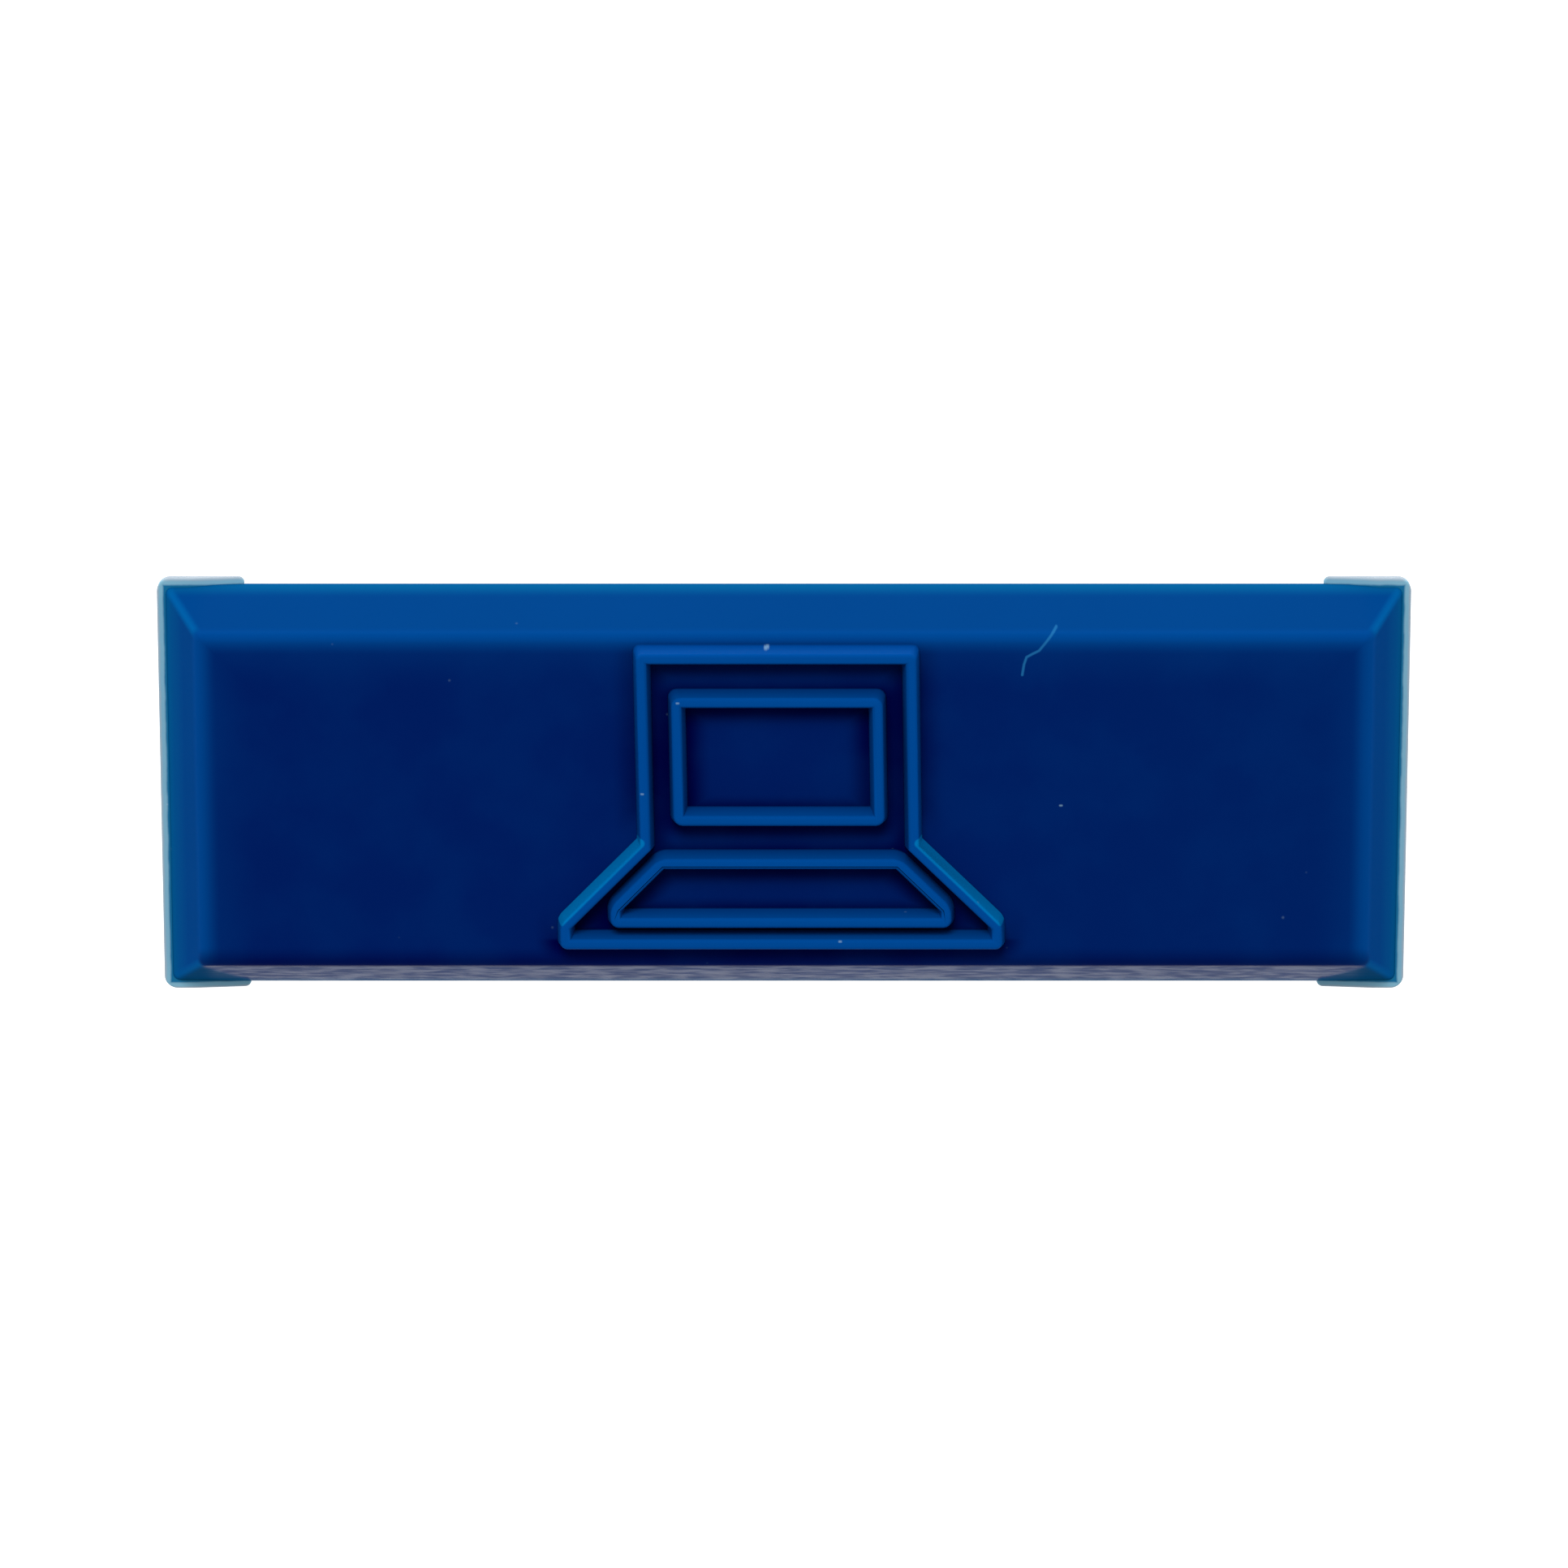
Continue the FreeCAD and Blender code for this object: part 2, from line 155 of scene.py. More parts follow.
def add_block(name, low, high):
    """A new block between two corners, with its object at the origin."""
    bpy.ops.object.select_all(action="DESELECT")
    middle = [(a + b) / 2 for a, b in zip(low, high)]
    sides = [b - a for a, b in zip(low, high)]
    bpy.ops.mesh.primitive_cube_add(size=1, location=middle, scale=sides)
    bpy.ops.object.transform_apply(location=True, rotation=True, scale=True)
    bpy.context.object.name = name
    return bpy.context.object


def near(a, b):
    return abs(a - b) < CLOSE


def is_level(edge, height):
    return all(near(vertex.co.z, height) for vertex in edge.verts)


def is_upright(edge):
    """True for an edge whose ends are at different heights, though it may lean."""
    return not near(edge.verts[0].co.z, edge.verts[1].co.z)


def lowest_first(edge):
    return sorted((vertex.co for vertex in edge.verts), key=lambda corner: corner.z)


def raise_slopes():
    """Extrudes the selected rim face upwards, and draws it in to the size of the flat top."""
    bpy.ops.mesh.extrude_region_move(TRANSFORM_OT_translate={"value": (0, 0, SLOPE_HEIGHT)})
    bpy.ops.transform.resize(
        value=(1 - SLOPE_INSET / cover_end, 1 - SLOPE_INSET / cover_side, 1),
        center_override=(0, 0, 0),
    )


def close_skin():
    """Merges doubled corners of the mesh being edited and turns its faces outwards."""
    bpy.ops.mesh.select_all(action="SELECT")
    bpy.ops.mesh.remove_doubles(threshold=WELD)
    bpy.ops.mesh.normals_make_consistent(inside=False)


def shade_evenly(piece, degrees):
    """Smooth shading that stays sharp at steeper edges than this, and even on the flats."""
    choose(piece)
    bpy.ops.object.shade_smooth_by_angle(angle=math.radians(degrees))
    even_shading = piece.modifiers.new("even_shading", "WEIGHTED_NORMAL")
    even_shading.keep_sharp = True
    bpy.ops.object.modifier_apply(modifier=even_shading.name)


# the shell: a rim with sloping sides, hollowed from below
cover = add_block(
    "cover_shell", (-cover_end, -cover_side, cover_low.z), (cover_end, cover_side, rim_top)
)
start_editing(cover)
pick(cover, "FACE", lambda face: face.normal.z > 0.9)
raise_slopes()
pick(cover, "FACE", lambda face: face.normal.z < -0.9)
bpy.ops.mesh.inset(thickness=COVER_WALL)
bpy.ops.mesh.extrude_region_move(TRANSFORM_OT_translate={"value": (0, 0, RIM_HEIGHT)})
room_height = SLOPE_HEIGHT - COVER_WALL
room_inset = SLOPE_INSET * room_height / SLOPE_HEIGHT
bpy.ops.mesh.extrude_region_move(TRANSFORM_OT_translate={"value": (0, 0, room_height)})
room_shrink = [1 - room_inset / (half - COVER_WALL) for half in (cover_end, cover_side)]
bpy.ops.transform.resize(value=(*room_shrink, 1), center_override=(0, 0, 0))


def is_outside_edge(edge):
    """True at the four corners of the rim and of the slopes, and all round the flat top."""
    is_corner = is_upright(edge) and near(abs(lowest_first(edge)[0].x), cover_end)
    return is_corner or is_level(edge, cover_top)


pick(cover, "EDGE", is_outside_edge)
bpy.ops.mesh.bevel(offset=COVER_ROUNDING, segments=5, affect="EDGES")

# the flat top is cut into a plain middle and narrow borders, so that its shading stays flat
for axis, half in ((0, cover_end), (1, cover_side)):
    for side in (-1, 1):
        place = [0.0, 0.0, 0.0]
        place[axis] = side * (half - SLOPE_INSET - FLAT_MARGIN)
        pick(cover, "FACE", lambda face: face.normal.z > 0.999)
        bpy.ops.mesh.bisect(plane_co=place, plane_no=(axis == 0, axis == 1, 0))
close_skin()
stop_editing()

# the laptop is a little left of the middle and leans by a degree
RIDGE_HEIGHT = 3.3 * MM
RIDGE_BASE = 2.2 * MM
RIDGE_CREST = 1.2 * MM
RIDGE_ROOT = 0.6 * MM
RIDGE_ROUNDING = 0.35 * MM
MIDDLE_SHIFT = -0.62 * MM
MIDDLE_LEAN = -0.018
LID_TOP = cover_side - SLOPE_INSET - 2.0 * MM
TRAY_FOOT = 3.4 * MM - (cover_side - SLOPE_INSET)
LID_FOOT = TRAY_FOOT + 12.1 * MM
TRAY_SHOULDER = TRAY_FOOT + 2.2 * MM
LID_HALF = 16.2 * MM
TRAY_HALF = LID_HALF + LID_FOOT - TRAY_SHOULDER
SCREEN_TOP = LID_TOP - 5.4 * MM
SCREEN_FOOT = LID_FOOT + 3.4 * MM
SCREEN_HALF = LID_HALF - 4.1 * MM
KEYS_TOP = LID_FOOT - 2.0 * MM
KEYS_FOOT = TRAY_FOOT + 2.7 * MM
KEYS_SHOULDER = KEYS_FOOT + 1.7 * MM
KEYS_HALF = LID_HALF - 1.9 * MM
KEYS_FOOT_HALF = KEYS_HALF + KEYS_TOP - KEYS_SHOULDER
LAPTOP_CORNER = 0.8 * MM
SCREEN_CORNER = 1.1 * MM
KEYS_CORNER = 1.0 * MM


def mirrored(*half):
    """A closed outline, clockwise from above, from the corners of its right half."""
    middles = [MIDDLE_SHIFT + MIDDLE_LEAN * y for _, y in half]
    right = [(middle + x, y) for middle, (x, y) in zip(middles, half)]
    left = [(middle - x, y) for middle, (x, y) in zip(middles, half)]
    return right + left[::-1]


def outward(start, end):
    """The direction square to a side of a clockwise outline, one unit long."""
    across, up = end[0] - start[0], end[1] - start[1]
    length = math.hypot(across, up)
    return -up / length, across / length


def widened(outline, distance):
    """The outline moved outwards by distance, with sharp corners."""
    moved = []
    for i, corner in enumerate(outline):
        nx, ny = outward(outline[i - 1], corner)
        px, py = outward(corner, outline[(i + 1) % len(outline)])
        share = distance / (1 + nx * px + ny * py)
        moved.append((corner[0] + (nx + px) * share, corner[1] + (ny + py) * share))
    return moved


def raise_ridge(outline, corner_rounding):
    """A closed ridge that stands on the cover's top and follows the outline."""
    outside = widened(outline, RIDGE_BASE / 2)
    bpy.ops.object.select_all(action="DESELECT")
    bpy.ops.mesh.primitive_circle_add(vertices=len(outside), fill_type="NGON")
    ridge = bpy.context.object
    for vertex, (x, y) in zip(ridge.data.vertices, outside):
        vertex.co = (x, y, cover_top)
    start_editing(ridge)
    bpy.ops.mesh.select_all(action="SELECT")
    bpy.ops.mesh.inset(thickness=RIDGE_BASE)
    bpy.ops.mesh.delete(type="FACE")
    bpy.ops.mesh.select_all(action="SELECT")
    bpy.ops.mesh.normals_make_consistent(inside=False)
    pick(ridge, "FACE", lambda face: True)
    if bmesh.from_edit_mesh(ridge.data).faces[:][0].normal.z < 0:
        bpy.ops.mesh.flip_normals()
    bpy.ops.mesh.inset(thickness=(RIDGE_BASE - RIDGE_CREST) / 2, depth=RIDGE_HEIGHT)
    bpy.ops.mesh.select_all(action="DESELECT")
    bpy.ops.mesh.select_mode(type="EDGE")
    bpy.ops.mesh.select_non_manifold()
    bpy.ops.mesh.extrude_region_move(TRANSFORM_OT_translate={"value": (0, 0, -RIDGE_ROOT)})
    bpy.ops.mesh.bridge_edge_loops()
    bpy.ops.mesh.select_all(action="SELECT")
    bpy.ops.mesh.normals_make_consistent(inside=False)

    def is_outer_corner(edge):
        """True for the outside edges where the ridge turns right, and not where it turns left."""
        low, high = lowest_first(edge)
        if not is_upright(edge) or high.z < cover_top + RIDGE_HEIGHT / 2:
            return False
        for i, (x, y) in enumerate(outside):
            if math.hypot(low.x - x, low.y - y) > CLOSE:
                continue
            before, after = outside[i - 1], outside[(i + 1) % len(outside)]
            turn = (x - before[0]) * (after[1] - y) - (y - before[1]) * (after[0] - x)
            return turn < 0
        return False

    def is_crest_edge(edge):
        level_faces = sum(face.normal.z > 0.99 for face in edge.link_faces)
        return is_level(edge, cover_top + RIDGE_HEIGHT) and level_faces == 1

    pick(ridge, "EDGE", is_outer_corner)
    bpy.ops.mesh.bevel(offset=corner_rounding, segments=4, affect="EDGES")
    pick(ridge, "EDGE", is_crest_edge)
    bpy.ops.mesh.bevel(offset=RIDGE_ROUNDING, segments=3, affect="EDGES")
    stop_editing()
    return ridge


laptop_line = mirrored(
    (LID_HALF, LID_TOP), (LID_HALF, LID_FOOT), (TRAY_HALF, TRAY_SHOULDER), (TRAY_HALF, TRAY_FOOT)
)
screen_line = mirrored((SCREEN_HALF, SCREEN_TOP), (SCREEN_HALF, SCREEN_FOOT))
keys_line = mirrored(
    (KEYS_HALF, KEYS_TOP), (KEYS_FOOT_HALF, KEYS_SHOULDER), (KEYS_FOOT_HALF, KEYS_FOOT)
)
ridges = [
    raise_ridge(laptop_line, LAPTOP_CORNER),
    raise_ridge(screen_line, SCREEN_CORNER),
    raise_ridge(keys_line, KEYS_CORNER),
]
choose(cover)
for ridge in ridges:
    ridge.select_set(True)
bpy.ops.object.join()
shade_evenly(cover, COVER_CREASE)


def add_node(tree, kind, **settings):
    node = tree.nodes.new(kind)
    for name, value in settings.items():
        setattr(node, name, value)
    return node


def wire(tree, value, socket):
    """Joins a socket to another, or sets it to a plain value."""
    if isinstance(value, bpy.types.NodeSocket):
        tree.links.new(value, socket)
    else:
        socket.default_value = value


def reckon(tree, operation, *values):
    """The result of one Math node."""
    node = add_node(tree, "ShaderNodeMath", operation=operation)
    for value, socket in zip(values, node.inputs):
        wire(tree, value, socket)
    return node.outputs[0]


def combine(tree, operation, *values):
    """One Vector Math node."""
    node = add_node(tree, "ShaderNodeVectorMath", operation=operation)
    for value, socket in zip(values, node.inputs):
        wire(tree, value, socket)
    return node


def split(tree, place):
    """The x, y and z of a place."""
    node = add_node(tree, "ShaderNodeSeparateXYZ")
    wire(tree, place, node.inputs[0])
    return node.outputs


def fade(tree, value, start, end, low=0.0, high=1.0, shape="SMOOTHSTEP"):
    """Goes from low, where value is start, to high, where it is end."""
    node = add_node(tree, "ShaderNodeMapRange", interpolation_type=shape)
    for number, socket in zip((value, start, end, low, high), node.inputs):
        wire(tree, number, socket)
    return node.outputs[0]


def tint(tree, share, first, second):
    """Mixes two colours by share."""
    node = add_node(tree, "ShaderNodeMix", data_type="RGBA")
    wire(tree, share, node.inputs[0])
    for colour, socket in ((first, node.inputs[6]), (second, node.inputs[7])):
        wire(tree, colour if isinstance(colour, bpy.types.NodeSocket) else (*colour, 1), socket)
    return node.outputs[2]


def noise(tree, place, size, detail=3.0, stretch=(1, 1, 1)):
    """Noise whose blobs are size metres across, drawn out along each axis by stretch."""
    mapping = add_node(tree, "ShaderNodeMapping", vector_type="POINT")
    wire(tree, place, mapping.inputs["Vector"])
    wire(tree, [1 / (size * share) for share in stretch], mapping.inputs["Scale"])
    node = add_node(tree, "ShaderNodeTexNoise")
    wire(tree, mapping.outputs[0], node.inputs["Vector"])
    wire(tree, 1.0, node.inputs["Scale"])
    wire(tree, detail, node.inputs["Detail"])
    return node.outputs["Fac"]


def emboss(tree, surface, height, depth, strength):
    """Makes the surface's normal follow height, which is depth metres deep."""
    node = add_node(tree, "ShaderNodeBump")
    wire(tree, strength, node.inputs["Strength"])
    wire(tree, depth, node.inputs["Distance"])
    wire(tree, height, node.inputs["Height"])
    wire(tree, node.outputs[0], surface.inputs["Normal"])


def new_material(name):
    """A material, its node tree, its main shader and its Object coordinates."""
    material = bpy.data.materials.new(name)
    material.use_nodes = True
    tree = material.node_tree
    place = add_node(tree, "ShaderNodeTexCoord").outputs["Object"]
    return material, tree, tree.nodes["Principled BSDF"], place


def coat(piece, material):
    """Gives the piece this material and no other."""
    piece.data.materials.clear()
    piece.data.materials.append(material)


def new_group(name, inputs, output):
    """An empty shader node group, its inputs and its output socket."""
    group = bpy.data.node_groups.new(name, "ShaderNodeTree")
    for label, kind in inputs.items():
        group.interface.new_socket(label, in_out="INPUT", socket_type="NodeSocket" + kind)
    group.interface.new_socket(output, in_out="OUTPUT", socket_type="NodeSocketFloat")
    given = group.nodes.new("NodeGroupInput").outputs
    return group, given, group.nodes.new("NodeGroupOutput").inputs[output]


def use_group(tree, group, **values):
    node = add_node(tree, "ShaderNodeGroup", node_tree=group)
    for label, value in values.items():
        wire(tree, value, node.inputs[label])
    return node.outputs[0]


# how far a point is, seen from above, from a straight line between two ends
line_distance, given, result = new_group(
    "line_distance", {"Point": "Vector", "Start": "Vector", "End": "Vector"}, "Distance"
)
to_point = combine(line_distance, "SUBTRACT", given["Point"], given["Start"]).outputs[0]
to_end = combine(line_distance, "SUBTRACT", given["End"], given["Start"]).outputs[0]
overlap = combine(line_distance, "DOT_PRODUCT", to_point, to_end).outputs["Value"]
whole = combine(line_distance, "DOT_PRODUCT", to_end, to_end).outputs["Value"]
share = reckon(line_distance, "DIVIDE", overlap, whole)
share = reckon(line_distance, "MINIMUM", reckon(line_distance, "MAXIMUM", share, 0.0), 1.0)
along = combine(line_distance, "SCALE", to_end)
wire(line_distance, share, along.inputs["Scale"])
off_line = combine(line_distance, "SUBTRACT", to_point, along.outputs[0]).outputs[0]
wire(line_distance, combine(line_distance, "LENGTH", off_line).outputs["Value"], result)


def distance_to_lines(tree, point, lines):
    """The distance from point to the nearest of some lines, each a pair of (x, y) ends."""
    nearest = None
    for start, end in lines:
        found = use_group(tree, line_distance, Point=point, Start=(*start, 0), End=(*end, 0))
        nearest = found if nearest is None else reckon(tree, "MINIMUM", nearest, found)
    return nearest


# sparse flecks of dust, each a small dot in a cell of its own
dust_flecks, given, result = new_group(
    "dust_flecks", {"Point": "Vector", "Spacing": "Float", "Size": "Float"}, "Mask"
)
cells = add_node(dust_flecks, "ShaderNodeTexVoronoi")
wire(dust_flecks, given["Point"], cells.inputs["Vector"])
wire(dust_flecks, reckon(dust_flecks, "DIVIDE", 1.0, given["Spacing"]), cells.inputs["Scale"])
fleck_size = reckon(dust_flecks, "DIVIDE", given["Size"], given["Spacing"])
wire(dust_flecks, fade(dust_flecks, cells.outputs["Distance"], fleck_size, 0.0), result)

DEEP_BLUE = (0.0, 0.0122, 0.118)
PAINTED_SHADE_BLUE = (0.0, 0.0002, 0.052)
SLOPE_BLUE = (0.0, 0.050, 0.225)
EDGE_BLUE = (0.0, 0.066, 0.29)
CORNER_BLUE = (0.0, 0.12, 0.38)
RIM_TEAL = (0.001, 0.11, 0.30)
ARM_TEAL = (0.0, 0.055, 0.13)
FLANK_BLUE = (0.0, 0.047, 0.24)
CREST_BLUE = (0.0, 0.066, 0.305)
FLANK_TEAL = (0.0, 0.17, 0.47)
DUST_AND_GLINT_WHITE = (0.30, 0.52, 0.68)
FIBRE_BLUE = (0.02, 0.19, 0.45)

# how far in from each side of the cover a point lies, at its own height
cover_plastic, tree, plastic, place = new_material("blue_cover_plastic")
x, y, z = split(tree, place)
flat_place = combine(tree, "MULTIPLY", place, (1, 1, 0)).outputs[0]
far_out = reckon(tree, "ABSOLUTE", x)
rise = fade(tree, z, rim_top, cover_top, shape="LINEAR")
inset = reckon(tree, "MULTIPLY", rise, SLOPE_INSET)
half_width = reckon(tree, "SUBTRACT", cover_side, inset)
end_gap = reckon(tree, "SUBTRACT", reckon(tree, "SUBTRACT", cover_end, inset), far_out)
side_gap = reckon(tree, "SUBTRACT", half_width, reckon(tree, "ABSOLUTE", y))
top_gap = reckon(tree, "SUBTRACT", half_width, y)
foot_gap = reckon(tree, "ADD", half_width, y)
from_edge = reckon(tree, "MINIMUM", end_gap, top_gap)
from_corner = reckon(tree, "MAXIMUM", end_gap, side_gap)

# the top: deep blue, with painted shade between the ridges, below the laptop and beside its
# slanting sides
SHADE_SQUEEZE = 0.75
SHADE_SHIFT = 0.5 * MM
SHADE_NEAR = 0.8 * MM
SHADE_FAR = 3.1 * MM
SLANT_SHIFT = 0.62 * MM
SLANT_SHADE = 4.0 * MM
shade_place = combine(tree, "MULTIPLY", flat_place, (SHADE_SQUEEZE, 1, 1)).outputs[0]
shade_place = combine(tree, "ADD", shade_place, (0, SHADE_SHIFT, 0)).outputs[0]
from_middle = reckon(tree, "ABSOLUTE", reckon(tree, "SUBTRACT", x, MIDDLE_SHIFT))
beyond_lid = reckon(tree, "SUBTRACT", from_middle, LID_HALF)
below_lid = fade(tree, y, LID_FOOT, TRAY_SHOULDER, 0.0, TRAY_HALF - LID_HALF, "LINEAR")
beyond_laptop = reckon(tree, "SUBTRACT", beyond_lid, below_lid)
in_laptop = fade(tree, beyond_laptop, 0.2 * MM, -0.2 * MM)
below_tray = fade(tree, y, TRAY_FOOT, TRAY_FOOT - 0.5 * MM)
shaded = reckon(tree, "MAXIMUM", in_laptop, below_tray)
slants = []
for start, end in ((laptop_line[1], laptop_line[2]), (laptop_line[-2], laptop_line[-3])):
    aside = math.copysign(SLANT_SHIFT, end[0])
    slants.append([(across + aside, up + SLANT_SHIFT) for across, up in (start, end)])
from_slant = distance_to_lines(tree, flat_place, slants)
shade_outside = fade(tree, from_slant, 1.0 * MM, SLANT_SHADE, 0.0, 0.55)
strength = fade(tree, shaded, 0.0, 1.0, shade_outside, 1.0, "LINEAR")
lit = 1.0
for line in (laptop_line, screen_line, keys_line):
    squeezed = [(SHADE_SQUEEZE * across, up) for across, up in line]
    sides = [(squeezed[i - 1], squeezed[i]) for i in range(len(squeezed))]
    from_line = distance_to_lines(tree, shade_place, sides)
    shadow = fade(tree, from_line, SHADE_NEAR, SHADE_FAR, 1.0, 0.0)
    shadow = reckon(tree, "MULTIPLY", shadow, strength)
    lit = reckon(tree, "MULTIPLY", lit, reckon(tree, "SUBTRACT", 1.0, shadow))
colour = tint(tree, lit, PAINTED_SHADE_BLUE, DEEP_BLUE)

# the top has a painted highlight towards its upper edge, its ends and the right, and painted shade
# at its lower edge
EDGE_GLOW = 7.0 * MM
EDGE_LINE = 2.3 * MM
FOOT_LINE = 2.4 * MM
colour = tint(tree, fade(tree, from_edge, 0.0, EDGE_GLOW, 0.16, 0.0), colour, EDGE_BLUE)
colour = tint(tree, fade(tree, from_edge, -0.3 * MM, EDGE_LINE, 0.82, 0.0), colour, EDGE_BLUE)
colour = tint(tree, fade(tree, foot_gap, 0.3 * MM, FOOT_LINE, 0.6, 0.0), colour, PAINTED_SHADE_BLUE)
colour = tint(tree, fade(tree, x, 0.0, cover_end, 0.0, 0.08, "LINEAR"), colour, EDGE_BLUE)

# the sloping sides: painted light, paler than the top, teal at the rim and palest at the mitres
CORNER_WIDTH = 1.2 * MM
on_slope = fade(tree, rise, 0.93, 0.80)
colour = tint(tree, on_slope, colour, SLOPE_BLUE)
colour = tint(tree, fade(tree, rise, 0.25, 0.0, 0.0, 0.9), colour, RIM_TEAL)
on_end = fade(tree, reckon(tree, "SUBTRACT", side_gap, end_gap), 0.0, CORNER_WIDTH)
end_teal = reckon(tree, "MULTIPLY", on_end, fade(tree, rise, 0.55, 0.0, 0.0, 0.65, "LINEAR"))
colour = tint(tree, end_teal, colour, RIM_TEAL)
by_corner = fade(tree, from_corner, CORNER_WIDTH, 0.1 * MM, 0.0, 0.75)
colour = tint(tree, reckon(tree, "MULTIPLY", by_corner, on_slope), colour, CORNER_BLUE)

# the lower long side is glossy in fine streaks, and a darker blue under them
# near the clips' arms it is not glossy, and a painted teal glow lies there instead
STREAK_SIZE = 1.0 * MM
ARM_ZONE_LENGTH = 6 * MM
LOWER_START = 4.2 * MM
LOWER_FULL = 3.8 * MM
streaks = noise(tree, place, STREAK_SIZE, 5.0, (3.2, 1, 1))
near_arm = fade(tree, far_out, arm_tip, arm_tip + ARM_ZONE_LENGTH, 0.05, 0.95, "LINEAR")
gloss_foot = reckon(tree, "SUBTRACT", rise, near_arm)
on_lower = fade(tree, y, LOWER_START - cover_side, LOWER_FULL - cover_side)
glossy = reckon(tree, "MULTIPLY", fade(tree, gloss_foot, -0.12, 0.12), on_lower)
glossy = reckon(tree, "MULTIPLY", glossy, fade(tree, rise, 0.99, 0.93))
streak_gloss = fade(tree, streaks, 0.36, 0.66, 0.08, 0.35)
edge_gloss = fade(tree, rise, 0.86, 0.93, 0.0, 0.2)
gloss = reckon(tree, "MULTIPLY", glossy, reckon(tree, "ADD", streak_gloss, edge_gloss))
wire(tree, gloss, plastic.inputs["Coat Weight"])
colour = tint(tree, reckon(tree, "MULTIPLY", glossy, 0.5), colour, PAINTED_SHADE_BLUE)
on_long = fade(tree, reckon(tree, "SUBTRACT", end_gap, side_gap), -0.3 * MM, CORNER_WIDTH)
arm_glow = reckon(tree, "MULTIPLY", fade(tree, gloss_foot, 0.12, -0.12), on_lower)
arm_glow = reckon(tree, "MULTIPLY", arm_glow, fade(tree, rise, 0.97, 0.90))
arm_glow = reckon(tree, "MULTIPLY", arm_glow, on_long)
colour = tint(tree, reckon(tree, "MULTIPLY", arm_glow, 0.75), colour, ARM_TEAL)
plastic.inputs["Coat IOR"].default_value = 1.3
plastic.inputs["Coat Roughness"].default_value = 0.12

# the ridges: painted light, paler towards their crests and palest on the laptop's outer slants
CLOUD_SIZE = 9 * MM
on_ridge = fade(tree, z, cover_top, cover_top + 0.2 * RIDGE_HEIGHT)
up_ridge = fade(tree, z, cover_top, cover_top + RIDGE_HEIGHT)
ridge_blue = tint(tree, up_ridge, FLANK_BLUE, CREST_BLUE)
colour = tint(tree, on_ridge, colour, ridge_blue)
off_top = fade(tree, z, cover_top, cover_top + 0.3 * MM)
on_slant = reckon(tree, "MULTIPLY", fade(tree, from_slant, 0.65 * MM, 0.4 * MM), off_top)
colour = tint(tree, on_slant, colour, FLANK_TEAL)
clouds = noise(tree, place, CLOUD_SIZE, 4.0)
colour = tint(tree, fade(tree, clouds, 0.35, 0.7, 0.0, 0.06), colour, EDGE_BLUE)

# a stray fibre on the top edge, large specks of dust and a painted glint, and fine dust all over
FIBRE_BENDS = [
    (32.8, 21.4), (31.5, 19.8), (30.7, 18.8), (29.9, 18.4), (29.2, 18.0), (28.9, 17.1), (28.7, 15.8)
]
# the spot on the screen's upper left corner is the painted glint
SPECKS = [(-2.3, 19.45), (-2.1, 19.5), (-17.2, 1.8), (6.7, -16.7), (-12.9, 13.1), (33.4, -0.5)]
FIBRE_WIDTH = 0.24 * MM
SPECK_SIZE = 0.2 * MM
DUST_SIZE = 0.28 * MM
DUST_SPACING = 6 * MM
fibre_line = [(across * MM, up * MM) for across, up in FIBRE_BENDS]
from_fibre = distance_to_lines(tree, flat_place, list(zip(fibre_line, fibre_line[1:])))
on_fibre = fade(tree, from_fibre, FIBRE_WIDTH, 0.05 * MM, 0.0, 0.6)
colour = tint(tree, on_fibre, colour, FIBRE_BLUE)
speck_lines = []
for across, up in SPECKS:
    speck_lines.append(((across * MM, up * MM), (across * MM + SPECK_SIZE, up * MM)))
from_speck = distance_to_lines(tree, flat_place, speck_lines)
colour = tint(tree, fade(tree, from_speck, SPECK_SIZE, 0.0, 0.0, 0.45), colour, DUST_AND_GLINT_WHITE)
dust = use_group(tree, dust_flecks, Point=place, Spacing=DUST_SPACING, Size=DUST_SIZE)
colour = tint(tree, reckon(tree, "MULTIPLY", dust, 0.15), colour, DUST_AND_GLINT_WHITE)
wire(tree, colour, plastic.inputs["Base Color"])

# fine rubbing marks along the cover, duller ends, and the uneven skin of a moulding
RUBBING_WIDTH = 0.5 * MM
RUBBING_STRETCH = (30, 1, 1)
SKIN_SIZE = 2.2 * MM
SKIN_DEPTH = 0.04 * MM
DULL_START = 6 * MM
DULL_FULL = 3.5 * MM
rubbing = noise(tree, place, RUBBING_WIDTH, 3.0, RUBBING_STRETCH)
skin = noise(tree, place, SKIN_SIZE, 2.0)
near_end = fade(tree, far_out, cover_end - DULL_START, cover_end - DULL_FULL, 0.0, 0.4)
roughness = reckon(tree, "ADD", fade(tree, rubbing, 0.3, 0.7, 0.30, 0.42), near_end)
wire(tree, roughness, plastic.inputs["Roughness"])
relief = reckon(tree, "ADD", reckon(tree, "MULTIPLY", rubbing, 0.3), skin)
emboss(tree, plastic, relief, SKIN_DEPTH, 0.2)
plastic.inputs["IOR"].default_value = 1.05
plastic.inputs["Specular IOR Level"].default_value = 0.25
coat(cover, cover_plastic)
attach(cover, "handle")
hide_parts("cover")


# ------------------------------------------------------------------ end clips
# Thin clips of pale, see-through plastic, one round each end of the cover. Their lips reach under
# the board and hold it in. They are springy mouldings that pull off endwise.

